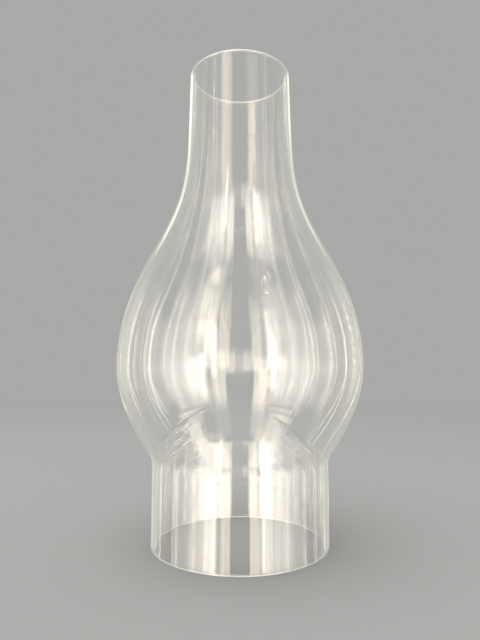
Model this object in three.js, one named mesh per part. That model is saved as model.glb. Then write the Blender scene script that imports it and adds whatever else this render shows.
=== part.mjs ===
// An oil lamp chimney: one piece of blown clear glass, open at both ends.
//
// It stands on its base rim, with its axis on +Z and the centre of that rim at the origin.
// From the foot up it has a straight band that drops into the gallery of a burner, a shoulder
// where the glass springs out, a bulb that is widest well below the middle, and a long neck
// that draws in to the mouth. The wall is thickest at the shoulder, where the glass gathers,
// and thinnest round the bulb, where it was blown furthest. Both rims are cut square and
// fire-polished, so each has a narrow flat between two rounded edges.
import * as THREE from "three";

// Driving sizes in millimetres, each measured outside the glass.
const bandDiameter = 76.2; // fits a 3 inch gallery
const bandHeight = 36.4; // base rim to the corner where the slope of the bulb meets the band
const bulbDiameter = 107;
const footHeight = 39.2; // that corner to the widest part of the bulb
const crownHeight = 52.3; // the widest part to the throat, where the outline turns hollow
const throatDiameter = 75.2;
const neckHeight = 81.6; // the throat to the mouth rim
const mouthDiameter = 45.8;
const shoulderHollow = 8; // radius of the hollow between the band and the bulb

// How far the outline leans outward from the axis on its way up, in degrees.
const shoulderLean = 33.4;
const throatLean = -27.8;
const mouthLean = -1.6;

// Wall thicknesses in millimetres, square to the outline.
const bandWall = 1.8;
const shoulderWall = 2.1;
const bulbWall = 1.3;
const throatWall = 1.4;
const mouthWall = 1.5;

// Radii of the fire-polished edges of the two rims, in millimetres, and the most that an edge
// may take of its wall, which keeps a flat between the two edges of a rim.
const baseEdge = 0.45;
const mouthEdge = 0.5;
const widestEdgeShare = 0.4;
const baseRound = Math.min(baseEdge, bandWall * widestEdgeShare);
const mouthRound = Math.min(mouthEdge, mouthWall * widestEdgeShare);

// How far each curve keeps the direction of its two ends, as shares of the height that it climbs.
const footStartShare = 0.27;
const footEndShare = 0.41;
const crownStartShare = 0.47;
const crownEndShare = 0.25;
const neckStartShare = 0.38;
const neckEndShare = 0.59;

// Facets: round the axis, and along each stretch of the outline.
const facetsAround = 80;
const bandSteps = 1;
const hollowSteps = 4;
const footSteps = 8;
const crownSteps = 7;
const neckSteps = 9;
const edgeSteps = 2;

// A direction in the plane of the outline, leaning outward from the axis.
function leaning(degrees) {
  const angle = THREE.MathUtils.degToRad(degrees);
  return new THREE.Vector2(Math.sin(angle), Math.cos(angle));
}

// A curve up the outline that leaves one point and arrives at the next along given leans.
function sweep(start, startLean, startShare, end, endLean, endShare) {
  const climb = end.y - start.y;
  const afterStart = start.clone().addScaledVector(leaning(startLean), climb * startShare);
  const beforeEnd = end.clone().addScaledVector(leaning(endLean), -climb * endShare);
  return new THREE.CubicBezierCurve(start, afterStart, beforeEnd, end);
}

// The outside of the glass between its two rims, from the base up, as stretches. Each stretch has
// its curve, the wall at its two ends and its steps. x is the radius and y the height.
function outline() {
  const bandRadius = bandDiameter / 2;
  const bulbLevel = bandHeight + footHeight;
  const throatLevel = bulbLevel + crownHeight;
  const mouthLevel = throatLevel + neckHeight;

  const turn = THREE.MathUtils.degToRad(shoulderLean);
  const reach = shoulderHollow * Math.tan(turn / 2);
  const corner = new THREE.Vector2(bandRadius, bandHeight);
  const bandStart = new THREE.Vector2(bandRadius, baseRound);
  const bandEnd = new THREE.Vector2(bandRadius, bandHeight - reach);
  const footStart = corner.clone().addScaledVector(leaning(shoulderLean), reach);
  const bulb = new THREE.Vector2(bulbDiameter / 2, bulbLevel);
  const throat = new THREE.Vector2(throatDiameter / 2, throatLevel);
  const mouth = new THREE.Vector2(mouthDiameter / 2, mouthLevel - mouthRound);

  const band = new THREE.LineCurve(bandStart, bandEnd);
  const hollow = new THREE.EllipseCurve(
    bandEnd.x + shoulderHollow,
    bandEnd.y,
    shoulderHollow,
    shoulderHollow,
    Math.PI,
    Math.PI - turn,
    true,
  );
  const foot = sweep(footStart, shoulderLean, footStartShare, bulb, 0, footEndShare);
  const crown = sweep(bulb, 0, crownStartShare, throat, throatLean, crownEndShare);
  const neck = sweep(throat, throatLean, neckStartShare, mouth, mouthLean, neckEndShare);

  return [
    { curve: band, walls: [bandWall, bandWall], steps: bandSteps },
    { curve: hollow, walls: [bandWall, shoulderWall], steps: hollowSteps },
    { curve: foot, walls: [shoulderWall, bulbWall], steps: footSteps },
    { curve: crown, walls: [bulbWall, throatWall], steps: crownSteps },
    { curve: neck, walls: [throatWall, mouthWall], steps: neckSteps },
  ];
}

// The outer and the inner face of the wall, from the base up. The inner face lies one wall
// inside the outline, and the wall eases from its value at one end of a stretch to the other.
function faces(stretches) {
  const outer = [];
  const inner = [];
  for (const { curve, walls, steps } of stretches) {
    const firstStep = outer.length === 0 ? 0 : 1;
    for (let step = firstStep; step <= steps; step += 1) {
      const share = step / steps;
      const point = curve.getPoint(share);
      const along = curve.getTangent(share);
      const inward = new THREE.Vector2(-along.y, along.x);
      const wall = THREE.MathUtils.lerp(...walls, THREE.MathUtils.smoothstep(share, 0, 1));
      outer.push(point);
      inner.push(point.clone().addScaledVector(inward, wall));
    }
  }
  return { outer, inner };
}

// The rounded edge from the end of a face to the flat of its rim. The radius is positive where
// the flat lies nearer the axis than the face, and negative where it lies further out.
function edge(end, rimLevel, radius) {
  const points = [];
  for (let step = 1; step <= edgeSteps; step += 1) {
    const angle = (step / edgeSteps) * (Math.PI / 2);
    const x = end.x - radius * (1 - Math.cos(angle));
    const y = THREE.MathUtils.lerp(end.y, rimLevel, Math.sin(angle));
    points.push(new THREE.Vector2(x, y));
  }
  return points;
}

// The closed section of the glass: up the outside, over the mouth rim, down the inside and
// under the base rim.
function section() {
  const { outer, inner } = faces(outline());
  const outerTop = outer.at(-1);
  const mouthLevel = outerTop.y + mouthRound;
  return [
    ...outer,
    ...edge(outerTop, mouthLevel, mouthRound),
    ...edge(inner.at(-1), mouthLevel, -mouthRound).reverse(),
    ...inner.toReversed(),
    ...edge(inner[0], 0, -baseRound),
    ...edge(outer[0], 0, baseRound).reverse(),
    outer[0].clone(),
  ];
}

// The glass: the section turned about the axis. A lathe turns about Y, so it is stood up on Z.
function chimneyGlass() {
  const geometry = new THREE.LatheGeometry(section(), facetsAround);
  geometry.rotateX(Math.PI / 2);
  const clearGlass = new THREE.MeshStandardMaterial({
    color: 0xe6ebe4,
    roughness: 0.03,
    metalness: 0,
    transparent: true,
    opacity: 0.25,
  });
  const mesh = new THREE.Mesh(geometry, clearGlass);
  mesh.name = "chimney_glass";
  return mesh;
}

const chimney = new THREE.Group();
chimney.add(chimneyGlass());

export default chimney;
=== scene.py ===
# An oil lamp chimney of clear blown glass, standing on a pale studio floor.
# Lengths are in metres and angles in degrees. The chimney's axis is Z, and its base rim is at 0.
import math
import random
from collections import namedtuple

import bpy
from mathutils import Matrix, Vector, geometry, noise


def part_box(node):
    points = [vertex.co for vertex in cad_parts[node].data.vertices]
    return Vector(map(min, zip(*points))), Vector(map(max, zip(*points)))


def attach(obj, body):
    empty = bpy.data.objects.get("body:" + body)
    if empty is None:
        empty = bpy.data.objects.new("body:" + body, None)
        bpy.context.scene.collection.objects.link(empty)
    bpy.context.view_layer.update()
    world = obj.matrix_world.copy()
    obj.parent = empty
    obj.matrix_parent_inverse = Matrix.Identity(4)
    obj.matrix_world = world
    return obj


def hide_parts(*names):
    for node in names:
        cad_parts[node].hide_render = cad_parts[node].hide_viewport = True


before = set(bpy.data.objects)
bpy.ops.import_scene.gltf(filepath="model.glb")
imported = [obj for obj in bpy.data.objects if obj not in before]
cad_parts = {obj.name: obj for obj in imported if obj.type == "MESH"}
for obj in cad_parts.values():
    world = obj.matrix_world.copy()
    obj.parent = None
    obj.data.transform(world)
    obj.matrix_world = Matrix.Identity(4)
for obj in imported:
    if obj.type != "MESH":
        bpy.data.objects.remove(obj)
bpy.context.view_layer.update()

MM = 0.001

# The chimney's sizes, measured outside the glass.
NODE = "chimney_glass"
_, NODE_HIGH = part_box(NODE)
HEIGHT = NODE_HIGH.z
BULB_RADIUS = NODE_HIGH.x
BAND_RADIUS = 38.1 * MM
THROAT_RADIUS = 37.6 * MM
MOUTH_RADIUS = 22.9 * MM
BAND_HEIGHT = 36.4 * MM
BULB_LEVEL = 75.6 * MM
THROAT_LEVEL = 127.9 * MM
SHOULDER_HOLLOW = 8 * MM
SHOULDER_LEAN = 33.4
THROAT_LEAN = -27.8
MOUTH_LEAN = -1.6

# Wall thicknesses, and the radii of the fire-polished edges.
BAND_WALL = 1.8 * MM
SHOULDER_WALL = 2.1 * MM
BULB_WALL = 1.3 * MM
THROAT_WALL = 1.4 * MM
MOUTH_WALL = 1.5 * MM
BASE_EDGE = 0.45 * MM
MOUTH_EDGE = 0.5 * MM

# How far each curve of the outline keeps the direction of its ends, as shares of its climb.
BAND_SHARES = (1 / 3, 1 / 3)
FOOT_SHARES = (0.27, 0.41)
CROWN_SHARES = (0.47, 0.25)
NECK_SHARES = (0.38, 0.59)

# The fine mesh. The hollow at the shoulder has so many times the steps of the rest.
FACETS_AROUND = 192
STEP_LENGTH = 1.4 * MM
FEWEST_STEPS = 2
HOLLOW_FINENESS = 2
EDGE_STEPS = 5

# The unevenness of blown glass: how far the wall wanders inward and the size of the wander, and
# the ripples of its inner face.
SWAY_DEPTH = 0.25 * MM
SWAY_SIZE = 45 * MM
RIPPLE_DEPTH = 0.02 * MM
RIPPLE_WIDTH = 7 * MM
RIPPLE_LENGTH = 70 * MM

# Bubbles in the wall: one long blister in the bulb, to the right of the middle as the camera sees
# it, and small scattered seeds. Sizes are half widths round the glass, through it and along it.
# The seeds' places follow from one fixed number, between two shares of the height.
BLISTER_TURN = 11.1
BLISTER_LEVEL = 105 * MM
BLISTER_SIZE = (1.9 * MM, 0.32 * MM, 3.8 * MM)
BLISTER_STEPS = 28
BLISTER_TAPER = 0.3
SEED_COUNT = 44
SEED_SIZE = (0.16 * MM, 0.13 * MM, 0.30 * MM)
SEED_STEPS = 8
SEED_SCALES = (0.6, 1.5)
SEED_LEVEL_SHARES = (0.03, 0.97)
SEED_CHANCE = 3

# The crease that the mould left in the front of the bulb: the two legs of an arch that springs
# from the shoulder. The level of the arch's crown and how far it lies to the left, how far the
# arch has dropped one band radius beside it, how far to each side of the middle its legs show,
# the share of the glass's colour kept along its seam, which paints shade into the seam, and how
# rough the seam is.
CREASE_LEVEL = 62.3 * MM
CREASE_SHIFT = 2.9 * MM
CREASE_DROP = 30.8 * MM
CREASE_WIDTH = 1.3 * MM
CREASE_DEPTH = 0.05 * MM
CREASE_SPAN = (12.5 * MM, 28 * MM)
CREASE_FADE = 2.5 * MM
# Painted shade: along the crease the glass's colour is darkened to this share.
CREASE_PAINTED_SHADE = 0.65
CREASE_ROUGHNESS = 0.4

# The wrinkles under that arch, where the hot glass was chilled: down to what level they reach,
# how softly they end, how far apart they lie along the glass and up it, how deep they are, and
# the detail and the distortion of their noise.
CHILL_LEVEL = 42 * MM
CHILL_FADE = 1.5 * MM
CHILL_LENGTH = 4 * MM
CHILL_WIDTH = 1.2 * MM
CHILL_DEPTH = 0.25 * MM
CHILL_DETAIL = 1.5
CHILL_DISTORTION = 0.8

# The glass: its refraction, and the tint and the density of its body.
GLASS_IOR = 1.5
BODY_TINT = (0.81, 0.83, 0.66)
BODY_DENSITY = 25.0

# The long striae in it: how many lie in a metre along each axis, the detail of their noise, how
# strongly they show and how deep they are.
STRIAE_SCALE = (260, 260, 9)
STRIAE_DETAIL = 2.0
STRIAE_STRENGTH = 0.2
STRIAE_DEPTH = 0.05 * MM

# The faint haze on it: the scale and the detail of its noise, the span of that noise over which
# it sets in, and how rough the glass is without it and with it.
HAZE_SCALE = 60.0
HAZE_DETAIL = 4.0
HAZE_SPAN = (0.45, 0.75)
HAZE_ROUGHNESS = (0.004, 0.03)

# The ground edge of each rim: how deep it reaches, how much of the light it scatters, and the
# finish that scatters it.
BASE_GROUND_DEPTH = 0.45 * MM
BASE_GROUND_SHARE = 0.6
MOUTH_GROUND_DEPTH = 0.7 * MM
MOUTH_GROUND_SHARE = 0.9
GROUND_COLOUR = (0.95, 0.94, 0.90)
GROUND_METALLIC = 0.3
GROUND_ROUGHNESS = 0.5

# The share of a lamp's light that passes each face of the wall, square on and where it grazes it,
# and how evenly the one turns into the other.
WINDOW_SHARES = (0.975, 0.65)
WINDOW_BLEND = 0.35

# A ray counts how often it has been mirrored. Above the first number it has been mirrored at all,
# and above the second it is trapped inside the wall.
MIRRORED_COUNT = 0.5
TRAPPED_COUNT = 2.5

# The camera of the photograph, worked out from the ellipses of the two rims.
PHOTO_HEIGHT = 640
FOCAL_PIXELS = 513.3
SENSOR = 36.0
CLIP_START = 0.01
CAMERA_DISTANCE = 229.3 * MM
CAMERA_LEVEL = 75.3 * MM
CAMERA_PITCH = 5.16

# The studio. The fill is the even light that matt surfaces get from all sides. The floor lies a
# hair below the rim, so that the two don't share a plane, and turns into the backdrop between two
# distances. One wide lamp hangs above.
BACKDROP = (0.40, 0.40, 0.39)
FILL = 0.78
FLOOR_LEVEL = -0.1 * MM
FLOOR_RADIUS = 6.0
FLOOR_CORNERS = 64
FLOOR_NEAR = 0.35
FLOOR_FAR = 1.1
LAMP_SIZE = 1.2
LAMP_POWER = 10.5
LAMP_PLACE = (-0.3, -0.3, 1.6)

# The studio's soft lights as the glass mirrors them. Each fills a span of azimuths, whose ends are
# softened by so much each way, and a span of elevations, which fades so much at its lower and its
# upper end. Azimuth 0 is behind the camera, and 180 is behind the chimney. Some are rows of dots,
# so many degrees apart.
LEFT, BOTH, RIGHT = "left", "both", "right"
PALE = (1.0, 0.91, 0.79)
CREAM = (1.0, 0.88, 0.70)
OLIVE = (0.97, 1.0, 0.78)
Light = namedtuple(
    "Light", "side azimuths elevations soft fades radiance colour dots", defaults=[0]
)
STUDIO_LIGHTS = (
    Light(BOTH, (-20, 230), (-110, 110), 14.0, (14, 14), 0.15, PALE),
    Light(BOTH, (29, 66), (-40.5, 4), 2.0, (1.2, 6), 1.7, PALE),
    Light(BOTH, (29, 66), (-33, 3), 4.0, (12, 9), 1.9, PALE),
    Light(BOTH, (29, 72), (-25, -17), 2.0, (6, 5), 1.0, PALE),
    Light(BOTH, (66, 92), (-33, 4), 3.0, (3, 6), 1.5, PALE),
    Light(BOTH, (66, 92), (-8, 3), 6.0, (8, 9), 0.8, PALE),
    Light(LEFT, (46, 76), (-64, -43), 2.0, (1.5, 0.8), 5.0, CREAM),
    Light(RIGHT, (34, 62), (-64, -43), 2.0, (1.5, 0.8), 3.8, CREAM),
    Light(BOTH, (30, 98), (-84, -64), 3.0, (4, 4), 3.2, PALE),
    Light(BOTH, (18, 72), (60, 78), 5.0, (7, 3), 2.1, PALE),
    Light(LEFT, (50, 68), (20, 46), 6.0, (8, 8), 0.6, PALE),
    Light(RIGHT, (50, 68), (20, 46), 6.0, (8, 8), 0.3, PALE),
    Light(BOTH, (41, 92), (6, 20), 4.0, (5, 6), 1.4, PALE),
    Light(BOTH, (96, 140), (-22, 6), 8.0, (10, 10), 0.12, PALE),
    Light(BOTH, (112, 138), (-12, 24), 7.0, (10, 10), 0.36, OLIVE),
    Light(BOTH, (-5, 12), (-8, 7), 2.0, (6, 6), 1.3, PALE),
    Light(LEFT, (4, 24), (-9, 8), 0.5, (2.5, 2.5), 2.0, CREAM),
    Light(LEFT, (13, 24), (-40, -9), 0.5, (2.5, 2.5), 2.2, CREAM),
    Light(LEFT, (12, 25), (-34, 3), 0.8, (12, 9), 2.6, CREAM),
    Light(RIGHT, (12, 25), (-42, 3), 0.5, (2.5, 2.5), 2.3, CREAM),
    Light(RIGHT, (12, 25), (-36, 3), 0.8, (12, 9), 2.7, CREAM),
    Light(LEFT, (24.5, 31), (-33, 2), 1.0, (3, 3), 1.6, PALE),
    Light(LEFT, (31, 36.5), (-33, 6), 0.6, (3, 3), 6.5, PALE),
    Light(LEFT, (37, 47), (-33, 4), 2.0, (3, 5), 2.0, PALE),
    Light(LEFT, (37, 47), (-24, 4), 2.0, (3, 5), 1.4, PALE),
    Light(RIGHT, (26, 31.5), (-24, 14), 0.6, (4, 5), 6.5, PALE),
    Light(RIGHT, (32, 41), (-33, 2), 2.0, (4, 4), 2.2, PALE),
    Light(LEFT, (20, 43), (27, 58), 5.0, (3, 4), 3.3, CREAM),
    Light(LEFT, (22, 40), (17, 26), 2.0, (2, 2), 4.0, CREAM),
    Light(LEFT, (21, 31), (4, 17), 2.0, (3, 2), 3.6, CREAM),
    Light(LEFT, (31, 40), (9, 17), 2.0, (4, 2), 2.2, CREAM),
    Light(RIGHT, (17, 41), (27, 58), 7.0, (3, 4), 1.2, CREAM),
    Light(LEFT, (60, 61.2), (-42, 36), 0.5, (5, 5), 7.0, CREAM, 3.4),
    Light(LEFT, (86, 87), (-40, 33), 0.5, (6, 6), 5.5, CREAM),
    Light(LEFT, (93, 94), (-40, 30), 0.5, (6, 6), 6.0, CREAM),
    Light(LEFT, (109, 110), (-15, 12), 0.5, (5, 5), 4.0, CREAM),
    Light(LEFT, (120, 121.2), (-24, 22), 0.5, (5, 5), 4.5, CREAM),
    Light(RIGHT, (61, 61.8), (-44, 36), 0.4, (5, 5), 5.0, CREAM),
    Light(RIGHT, (87.5, 88.7), (-30, 24), 0.5, (5, 5), 7.0, CREAM, 3.4),
    Light(RIGHT, (109, 110.2), (-42, 24), 0.5, (5, 5), 5.5, CREAM),
    Light(RIGHT, (125.5, 126.5), (-16, 18), 0.4, (5, 5), 4.5, CREAM, 3.4),
    Light(LEFT, (146, 200), (25, 60), 4.0, (3, 4), 1.0, OLIVE),
    Light(RIGHT, (146, 200), (25, 60), 4.0, (3, 4), 0.6, OLIVE),
    Light(BOTH, (-10, 190), (76, 100), 5.0, (7, 7), 4.0, PALE),
    Light(BOTH, (120, 230), (-100, -60), 8.0, (10, 10), 4.0, PALE),
)

# A row of dots swings by the first share of its light about the second.
DOT_SHARES = (0.45, 0.55)

# The folds of the cloth that the lights shine through: their size in degrees across and up, the
# detail of their noise, the span of it that counts, and the shares of light at its two ends.
FOLD_WIDTH = 2.2
FOLD_LENGTH = 120.0
FOLD_DETAIL = 3.0
FOLD_SPAN = (0.3, 0.7)
FOLD_SHARES = (0.7, 1.3)

# The colour sockets of Blender's Mix node, by their number.
MIX_FIRST, MIX_SECOND, MIX_RESULT = 6, 7, 2


def leaning(degrees):
    """A direction in the plane of the outline, leaning outward from the axis."""
    angle = math.radians(degrees)
    return Vector((math.sin(angle), math.cos(angle)))


def ease(share):
    """Goes from 0 to 1 with level ends."""
    share = min(max(share, 0.0), 1.0)
    return share * share * (3 - 2 * share)


def sweep(start, start_lean, end, end_lean, shares):
    """Points of a curve up the outline that leaves one point and arrives at the next along leans."""
    climb = end.y - start.y
    after_start = start + leaning(start_lean) * climb * shares[0]
    before_end = end - leaning(end_lean) * climb * shares[1]
    steps = max(FEWEST_STEPS, round((end - start).length / STEP_LENGTH))
    return geometry.interpolate_bezier(start, after_start, before_end, end, steps + 1)


def hollow_arc(start, turn):
    """Points of the hollow fillet that turns the band out into the bulb."""
    centre = start + Vector((SHOULDER_HOLLOW, 0))
    steps = max(FEWEST_STEPS, round(SHOULDER_HOLLOW * turn / STEP_LENGTH) * HOLLOW_FINENESS)
    points = []
    for step in range(steps + 1):
        angle = turn * step / steps
        points.append(centre - SHOULDER_HOLLOW * Vector((math.cos(angle), -math.sin(angle))))
    return points


def outline():
    """The outside of the glass from the base up, as stretches of points with the wall at their ends."""
    turn = math.radians(SHOULDER_LEAN)
    reach = SHOULDER_HOLLOW * math.tan(turn / 2)
    band_start = Vector((BAND_RADIUS, BASE_EDGE))
    band_end = Vector((BAND_RADIUS, BAND_HEIGHT - reach))
    foot_start = Vector((BAND_RADIUS, BAND_HEIGHT)) + leaning(SHOULDER_LEAN) * reach
    bulb = Vector((BULB_RADIUS, BULB_LEVEL))
    throat = Vector((THROAT_RADIUS, THROAT_LEVEL))
    mouth = Vector((MOUTH_RADIUS, HEIGHT - MOUTH_EDGE))
    return [
        (sweep(band_start, 0, band_end, 0, BAND_SHARES), BAND_WALL, BAND_WALL),
        (hollow_arc(band_end, turn), BAND_WALL, SHOULDER_WALL),
        (sweep(foot_start, SHOULDER_LEAN, bulb, 0, FOOT_SHARES), SHOULDER_WALL, BULB_WALL),
        (sweep(bulb, 0, throat, THROAT_LEAN, CROWN_SHARES), BULB_WALL, THROAT_WALL),
        (sweep(throat, THROAT_LEAN, mouth, MOUTH_LEAN, NECK_SHARES), THROAT_WALL, MOUTH_WALL),
    ]


def faces():
    """The outer and the inner face of the wall, from the base up."""
    outer, walls = [], []
    for points, wall_start, wall_end in outline():
        first = 1 if outer else 0
        for index in range(first, len(points)):
            share = ease(index / (len(points) - 1))
            outer.append(Vector(points[index]).to_2d())
            walls.append(wall_start + (wall_end - wall_start) * share)
    inner = []
    for index, point in enumerate(outer):
        before = outer[max(index - 1, 0)]
        after = outer[min(index + 1, len(outer) - 1)]
        along = (after - before).normalized()
        inner.append(point + Vector((-along.y, along.x)) * walls[index])
    return outer, inner


def edge(end, rim_level, radius):
    """The rounded edge from the end of a face to the flat of its rim."""
    points = []
    for step in range(1, EDGE_STEPS + 1):
        angle = step / EDGE_STEPS * math.pi / 2
        x = end.x - radius * (1 - math.cos(angle))
        points.append(Vector((x, end.y + (rim_level - end.y) * math.sin(angle))))
    return points


def section(outer, inner):
    """The section of the glass as a loop of (radius, level, whether it is inside)."""
    outside = edge(outer[0], 0, BASE_EDGE)[::-1] + outer + edge(outer[-1], HEIGHT, MOUTH_EDGE)
    inside = edge(inner[0], 0, -BASE_EDGE)[::-1] + inner + edge(inner[-1], HEIGHT, -MOUTH_EDGE)
    return [(p.x, p.y, False) for p in outside] + [(p.x, p.y, True) for p in reversed(inside)]


def sway(around, level):
    """How far the whole wall wanders inward at a place, as hand-worked glass does."""
    place = around * BULB_RADIUS
    value = noise.noise(Vector((place.x, place.y, level)) / SWAY_SIZE)
    return SWAY_DEPTH * (0.5 + 0.5 * value)


def ripple(around, level):
    """How far the inner face rises into the hollow, in long ripples that run up the glass."""
    place = around * BULB_RADIUS / RIPPLE_WIDTH
    value = noise.noise(Vector((place.x, place.y, level / RIPPLE_LENGTH)))
    return RIPPLE_DEPTH * value


def bubble(outer, inner, turn, level, size, steps, taper):
    """A bubble in the middle of the wall, as points and as sides that look into the bubble. Its
    turn is from the front to the right, and its taper narrows it towards the top."""
    index = min(range(1, len(outer) - 1), key=lambda i: abs(outer[i].y - level))
    middle = (outer[index] + inner[index]) / 2
    rise = (outer[index + 1] - outer[index - 1]).normalized()
    angle = math.radians(turn)
    outward = Vector((math.sin(angle), -math.cos(angle), 0))
    up = Vector((0, 0, 1))
    beside = Vector((math.cos(angle), math.sin(angle), 0)) * size[0]
    through = (outward * rise.y - up * rise.x) * size[1]
    along = (outward * rise.x + up * rise.y) * size[2]
    centre = outward * (middle.x - sway(outward, middle.y)) + up * middle.y

    # The two ends, and the rings of points between them.
    points = [centre + along, centre - along]
    ends = len(points)
    spaces = steps // 2
    for ring in range(1, spaces):
        fall = math.pi * ring / spaces
        width = math.sin(fall) * (1 - taper * math.cos(fall))
        for step in range(steps):
            way = 2 * math.pi * step / steps
            across = beside * math.cos(way) + through * math.sin(way)
            points.append(centre + along * math.cos(fall) + across * width)

    sides = []
    last = len(points) - steps
    for step in range(steps):
        following = (step + 1) % steps
        sides.append((0, ends + step, ends + following))
        sides.append((1, last + following, last + step))
        for here in range(ends, last, steps):
            there = here + steps
            sides.append((here + following, here + step, there + step, there + following))
    return points, sides


def bubbles(outer, inner):
    """The blister and the seeds."""
    yield bubble(
        outer, inner, BLISTER_TURN, BLISTER_LEVEL, BLISTER_SIZE, BLISTER_STEPS, BLISTER_TAPER
    )
    chance = random.Random(SEED_CHANCE)
    for _ in range(SEED_COUNT):
        turn = chance.uniform(-180, 180)
        level = chance.uniform(*SEED_LEVEL_SHARES) * HEIGHT
        scale = chance.uniform(*SEED_SCALES)
        size = [scale * part for part in SEED_SIZE]
        yield bubble(outer, inner, turn, level, size, SEED_STEPS, 0)


def glass_mesh():
    """The section turned about the axis, with the unevenness of blown glass and its bubbles."""
    outer, inner = faces()
    loop = section(outer, inner)
    points = []
    for turn_index in range(FACETS_AROUND):
        angle = 2 * math.pi * turn_index / FACETS_AROUND
        around = Vector((math.cos(angle), math.sin(angle), 0))
        for radius, level, inside in loop:
            radius -= sway(around, level)
            if inside:
                radius -= ripple(around, level)
            points.append(around * radius + Vector((0, 0, level)))
    count = len(loop)
    sides = []
    for turn_index in range(FACETS_AROUND):
        here = turn_index * count
        there = (turn_index + 1) % FACETS_AROUND * count
        for index in range(count):
            following = (index + 1) % count
            sides.append((here + index, there + index, there + following, here + following))
    for bubble_points, bubble_sides in bubbles(outer, inner):
        start = len(points)
        points.extend(bubble_points)
        sides.extend([start + corner for corner in side] for side in bubble_sides)
    mesh = bpy.data.meshes.new("blown_glass")
    mesh.from_pydata(points, [], sides)
    mesh.polygons.foreach_set("use_smooth", [True] * len(sides))
    mesh.update()
    return mesh


class Nodes:
    """A short way to add and link the nodes of one material or world."""

    def __init__(self, owner):
        owner.use_nodes = True
        self.tree = owner.node_tree
        self.tree.nodes.clear()

    def put(self, value, socket):
        """Sets a socket to a value, or links another node's output to it."""
        if isinstance(value, bpy.types.NodeSocket):
            self.tree.links.new(value, socket)
        else:
            socket.default_value = value

    def add(self, kind, **settings):
        """Adds a node. A setting that names an input, with _ for a space, is set or linked."""
        node = self.tree.nodes.new(kind)
        for name, value in settings.items():
            socket = next((s for s in node.inputs if s.name.replace(" ", "_") == name), None)
            if socket is None:
                setattr(node, name, value)
            else:
                self.put(value, socket)
        return node

    def put_all(self, node, *values):
        """Sets or links the first inputs of a node, in their order."""
        for value, socket in zip(values, node.inputs):
            self.put(value, socket)
        return node

    def maths(self, operation, *values):
        """The result of one sum on numbers or on other nodes' outputs."""
        return self.put_all(self.add("ShaderNodeMath", operation=operation), *values).outputs[0]

    def vector_maths(self, operation, *values):
        """The node of one sum on vectors or on other nodes' outputs."""
        return self.put_all(self.add("ShaderNodeVectorMath", operation=operation), *values)

    def noise_texture(self, place, scale, detail, distortion=0.0):
        """The value of a noise texture at a place."""
        node = self.add(
            "ShaderNodeTexNoise", Vector=place, Scale=scale, Detail=detail, Distortion=distortion
        )
        return node.outputs[0]

    def remap(self, value, old=(0.0, 1.0), new=(0.0, 1.0), kind="LINEAR"):
        """A value between two old ends, brought between two new ones."""
        node = self.add(
            "ShaderNodeMapRange", Value=value, From_Min=old[0], From_Max=old[1],
            To_Min=new[0], To_Max=new[1], interpolation_type=kind,
        )
        return node.outputs[0]

    def span(self, value, ends, soft, soft_end=None):
        """1 between two ends and 0 outside them, with a soft step at each end."""
        soft_end = soft_end or soft
        rise = self.remap(value, (ends[0] - soft, ends[0] + soft), kind="SMOOTHSTEP")
        fall = self.remap(value, (ends[1] + soft_end, ends[1] - soft_end), kind="SMOOTHSTEP")
        return self.maths("MULTIPLY", rise, fall)

    def bump(self, height, depth, strength=1.0, invert=False, **settings):
        """The normal that a height gives."""
        node = self.add(
            "ShaderNodeBump", Height=height, Strength=strength, Distance=depth, invert=invert,
            **settings,
        )
        return node.outputs[0]

    def mirrored(self):
        """1 for a ray that the glass has mirrored on its way, and 0 for any other."""
        path = self.add("ShaderNodeLightPath")
        return self.maths("GREATER_THAN", path.outputs["Glossy Depth"], MIRRORED_COUNT)

    def mix_shaders(self, share, first, second):
        """A share of the second shader with the rest of the first."""
        mixed = self.add("ShaderNodeMixShader")
        return self.put_all(mixed, share, first.outputs[0], second.outputs[0])


def striae(nodes, place):
    """The normal of the long striae that run up the glass."""
    stretched = nodes.add("ShaderNodeMapping", Vector=place, Scale=STRIAE_SCALE)
    height = nodes.noise_texture(stretched.outputs[0], 1.0, STRIAE_DETAIL)
    return nodes.bump(height, STRIAE_DEPTH, STRIAE_STRENGTH)


def mould_marks(nodes, place, normal):
    """The crease and the wrinkles under its arch: where the crease lies, which is also where painted
    shade darkens the glass, and their normal.
    """
    parts = nodes.add("ShaderNodeSeparateXYZ", Vector=place)
    across, level = parts.outputs["X"], parts.outputs["Z"]
    beside = nodes.maths("ADD", across, CREASE_SHIFT)
    bend = -CREASE_DROP / BAND_RADIUS**2
    arch = nodes.maths("MULTIPLY", nodes.maths("MULTIPLY", beside, beside), bend)
    arch = nodes.maths("ADD", arch, CREASE_LEVEL)
    below = nodes.maths("SUBTRACT", arch, level)

    # Both show only at the front, to each side of the middle and above the shoulder.
    front = nodes.maths("LESS_THAN", parts.outputs["Y"], 0)
    legs = nodes.span(nodes.maths("ABSOLUTE", across), CREASE_SPAN, CREASE_FADE)
    above = nodes.span(level, (CHILL_LEVEL, HEIGHT), CHILL_FADE)
    shown = nodes.maths("MULTIPLY", nodes.maths("MULTIPLY", front, legs), above)

    quarter = CREASE_WIDTH / 4
    groove_and_shade = nodes.span(below, (-quarter, quarter), quarter)
    groove_and_shade = nodes.maths("MULTIPLY", groove_and_shade, shown)
    normal = nodes.bump(groove_and_shade, CREASE_DEPTH, invert=True, Normal=normal)

    under = nodes.span(below, (CHILL_FADE, HEIGHT), CHILL_FADE)
    curved = nodes.add(
        "ShaderNodeCombineXYZ",
        X=nodes.maths("DIVIDE", across, CHILL_LENGTH),
        Z=nodes.maths("DIVIDE", below, CHILL_WIDTH),
    )
    chill = nodes.noise_texture(curved.outputs[0], 1.0, CHILL_DETAIL, CHILL_DISTORTION)
    chill = nodes.maths("MULTIPLY", chill, nodes.maths("MULTIPLY", under, shown))
    return groove_and_shade, nodes.bump(chill, CHILL_DEPTH, Normal=normal)


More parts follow.
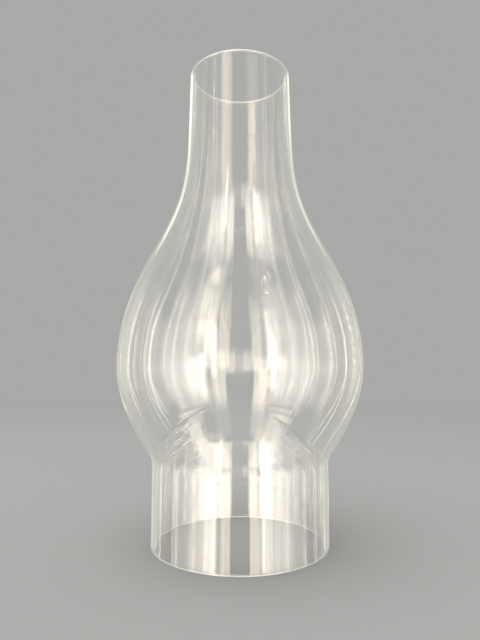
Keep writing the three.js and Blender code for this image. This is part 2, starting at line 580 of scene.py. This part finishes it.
def clear_surface(nodes, place):
    """The clear glass, with its striae, its haze, the marks of its mould, and painted shade that
    darkens its colour along the crease.
    """
    groove_and_shade, normal = mould_marks(nodes, place, striae(nodes, place))
    haze = nodes.noise_texture(place, HAZE_SCALE, HAZE_DETAIL)
    haze = nodes.remap(haze, HAZE_SPAN, HAZE_ROUGHNESS)
    return nodes.add(
        "ShaderNodeBsdfPrincipled",
        # Painted shade: the glass's colour is darkened along the crease's seam.
        Base_Color=nodes.remap(groove_and_shade, new=(1.0, CREASE_PAINTED_SHADE)),
        Roughness=nodes.maths("MAXIMUM", haze, nodes.maths("MULTIPLY", groove_and_shade, CREASE_ROUGHNESS)),
        IOR=GLASS_IOR,
        Transmission_Weight=1.0,
        Normal=normal,
    )


def with_ground_rims(nodes, place, surface):
    """A surface whose two rims are ground, which scatters a part of the light."""
    ground = nodes.add(
        "ShaderNodeBsdfPrincipled", Base_Color=(*GROUND_COLOUR, 1), Metallic=GROUND_METALLIC,
        Roughness=GROUND_ROUGHNESS,
    )
    level = nodes.add("ShaderNodeSeparateXYZ", Vector=place).outputs["Z"]
    base = nodes.maths("LESS_THAN", level, BASE_GROUND_DEPTH)
    mouth = nodes.maths("GREATER_THAN", level, HEIGHT - MOUTH_GROUND_DEPTH)
    rims = nodes.maths(
        "ADD",
        nodes.maths("MULTIPLY", base, BASE_GROUND_SHARE),
        nodes.maths("MULTIPLY", mouth, MOUTH_GROUND_SHARE),
    )
    return nodes.mix_shaders(rims, surface, ground)


def with_passing_light(nodes, surface):
    """A surface that lets the light of lamps and of the floor pass, dimmed where they graze it. So
    do rays pass that are trapped inside the wall, which would otherwise never leave it."""
    path = nodes.add("ShaderNodeLightPath")
    trapped = nodes.maths("GREATER_THAN", path.outputs["Glossy Depth"], TRAPPED_COUNT)
    passes = nodes.maths(
        "MAXIMUM", path.outputs["Is Shadow Ray"], path.outputs["Is Diffuse Ray"]
    )
    passes = nodes.maths("MAXIMUM", passes, trapped)
    graze = nodes.add("ShaderNodeLayerWeight", Blend=WINDOW_BLEND)
    dim = nodes.remap(graze.outputs["Facing"], new=WINDOW_SHARES)
    window = nodes.add("ShaderNodeBsdfTransparent", Color=dim)
    return nodes.mix_shaders(passes, surface, window)


def glass_material():
    """Clear glass with a faint olive body, marks of its making and two ground rims."""
    material = bpy.data.materials.new("clear_blown_glass")
    nodes = Nodes(material)
    place = nodes.add("ShaderNodeTexCoord").outputs["Object"]
    surface = with_ground_rims(nodes, place, clear_surface(nodes, place))
    surface = with_passing_light(nodes, surface)
    body = nodes.add("ShaderNodeVolumeAbsorption", Color=(*BODY_TINT, 1), Density=BODY_DENSITY)
    nodes.add(
        "ShaderNodeOutputMaterial", Surface=surface.outputs[0], Volume=body.outputs[0]
    )
    return material


def floor_material():
    """A pale matt floor that keeps the shadow, and runs out into the even backdrop. The glass
    mirrors the studio past it."""
    material = bpy.data.materials.new("studio_floor")
    nodes = Nodes(material)
    place = nodes.add("ShaderNodeTexCoord").outputs["Object"]
    reach = nodes.vector_maths("LENGTH", place).outputs["Value"]
    fade = nodes.remap(reach, (FLOOR_NEAR, FLOOR_FAR), kind="SMOOTHSTEP")
    near = nodes.add("ShaderNodeBsdfDiffuse", Color=(*BACKDROP, 1))
    far = nodes.add("ShaderNodeEmission", Color=(*BACKDROP, 1), Strength=1.0)
    both = nodes.mix_shaders(fade, near, far)
    past = nodes.mix_shaders(nodes.mirrored(), both, nodes.add("ShaderNodeBsdfTransparent"))
    nodes.add("ShaderNodeOutputMaterial", Surface=past.outputs[0])
    return material


def studio_floor():
    """A wide round floor, which isn't part of the object."""
    corners = range(FLOOR_CORNERS)
    rim = []
    for corner in corners:
        angle = 2 * math.pi * corner / FLOOR_CORNERS
        rim.append(Vector((math.cos(angle), math.sin(angle), 0)) * FLOOR_RADIUS)
    mesh = bpy.data.meshes.new("floor")
    mesh.from_pydata(rim, [], [tuple(corners)])
    floor = bpy.data.objects.new("floor", mesh)
    floor.location.z = FLOOR_LEVEL
    floor.data.materials.append(floor_material())
    bpy.context.scene.collection.objects.link(floor)


def light_share(nodes, light, azimuth, elevation):
    """How much of a studio light lies in a direction, from 0 to 1."""
    if light.side == BOTH:
        turn = nodes.maths("ABSOLUTE", azimuth)
    else:
        turn = nodes.maths("MULTIPLY", azimuth, 1 if light.side == RIGHT else -1)
    across = nodes.span(turn, light.azimuths, light.soft)
    upward = nodes.span(elevation, light.elevations, *light.fades)
    if light.dots:
        wave = nodes.maths("SINE", nodes.maths("MULTIPLY", elevation, 2 * math.pi / light.dots))
        row = nodes.maths("MULTIPLY_ADD", wave, *DOT_SHARES)
        upward = nodes.maths("MULTIPLY", upward, row)
    return nodes.maths("MULTIPLY", across, upward)


def fold_share(nodes, azimuth, elevation):
    """How much light the folds of the studio's cloth let through in a direction."""
    place = nodes.add(
        "ShaderNodeCombineXYZ",
        X=nodes.maths("DIVIDE", azimuth, FOLD_WIDTH),
        Y=nodes.maths("DIVIDE", elevation, FOLD_LENGTH),
    )
    folds = nodes.noise_texture(place.outputs[0], 1.0, FOLD_DETAIL)
    return nodes.remap(folds, FOLD_SPAN, FOLD_SHARES)


def studio_lights(nodes):
    """The colour of the backdrop with the soft lights that mirrored rays see before it."""
    direction = nodes.add("ShaderNodeTexCoord").outputs["Generated"]
    axes = nodes.add("ShaderNodeSeparateXYZ", Vector=direction)
    ahead = nodes.maths("MULTIPLY", axes.outputs["Y"], -1)
    azimuth = nodes.maths("DEGREES", nodes.maths("ARCTAN2", axes.outputs["X"], ahead))
    elevation = nodes.maths("DEGREES", nodes.maths("ARCSINE", axes.outputs["Z"]))
    cloth = nodes.maths("MULTIPLY", nodes.mirrored(), fold_share(nodes, azimuth, elevation))

    total = BACKDROP
    for light in STUDIO_LIGHTS:
        share = nodes.maths("MULTIPLY", light_share(nodes, light, azimuth, elevation), cloth)
        colour = [light.radiance * part for part in light.colour]
        level = nodes.add("ShaderNodeVectorMath", operation="SCALE", Vector=colour, Scale=share)
        total = nodes.vector_maths("ADD", total, level.outputs[0]).outputs[0]
    return total


def studio_world():
    """An even pale backdrop, which gives the fill, with the soft lights that the glass mirrors."""
    world = bpy.data.worlds.new("studio")
    nodes = Nodes(world)
    fill = nodes.add("ShaderNodeMix", data_type="RGBA")
    nodes.put(nodes.add("ShaderNodeLightPath").outputs["Is Diffuse Ray"], fill.inputs[0])
    nodes.put(studio_lights(nodes), fill.inputs[MIX_FIRST])
    nodes.put((FILL, FILL, FILL, 1), fill.inputs[MIX_SECOND])
    shade = nodes.add("ShaderNodeBackground", Color=fill.outputs[MIX_RESULT], Strength=1.0)
    nodes.add("ShaderNodeOutputWorld", Surface=shade.outputs[0])
    bpy.context.scene.world = world


def overhead_lamp():
    """A wide soft lamp above, which gives the chimney its soft shadow."""
    lamp = bpy.data.lights.new("overhead", "AREA")
    lamp.shape = "DISK"
    lamp.size = LAMP_SIZE
    lamp.energy = LAMP_POWER
    holder = bpy.data.objects.new("overhead", lamp)
    holder.location = LAMP_PLACE
    holder.rotation_mode = "QUATERNION"
    holder.rotation_quaternion = holder.location.to_track_quat("Z", "Y")
    holder.visible_camera = False
    holder.visible_glossy = False
    holder.visible_transmission = False
    bpy.context.scene.collection.objects.link(holder)


def photo_camera():
    """The camera that took the photograph, stood upright with the chimney."""
    lens = bpy.data.cameras.new("camera")
    lens.sensor_width = SENSOR
    lens.lens = FOCAL_PIXELS / PHOTO_HEIGHT * SENSOR
    lens.clip_start = CLIP_START
    holder = bpy.data.objects.new("camera", lens)
    holder.location = (0, -CAMERA_DISTANCE, CAMERA_LEVEL)
    holder.rotation_euler = (math.radians(90 + CAMERA_PITCH), 0, 0)
    bpy.context.scene.collection.objects.link(holder)
    bpy.context.scene.camera = holder


def chimney():
    """The glass, in the place of its plain solid."""
    piece = bpy.data.objects.new("blown_glass", glass_mesh())
    piece.data.materials.append(glass_material())
    bpy.context.scene.collection.objects.link(piece)
    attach(piece, "root")
    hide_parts(NODE)


bpy.context.scene.view_settings.view_transform = "Standard"
photo_camera()
chimney()
studio_floor()
studio_world()
overhead_lamp()
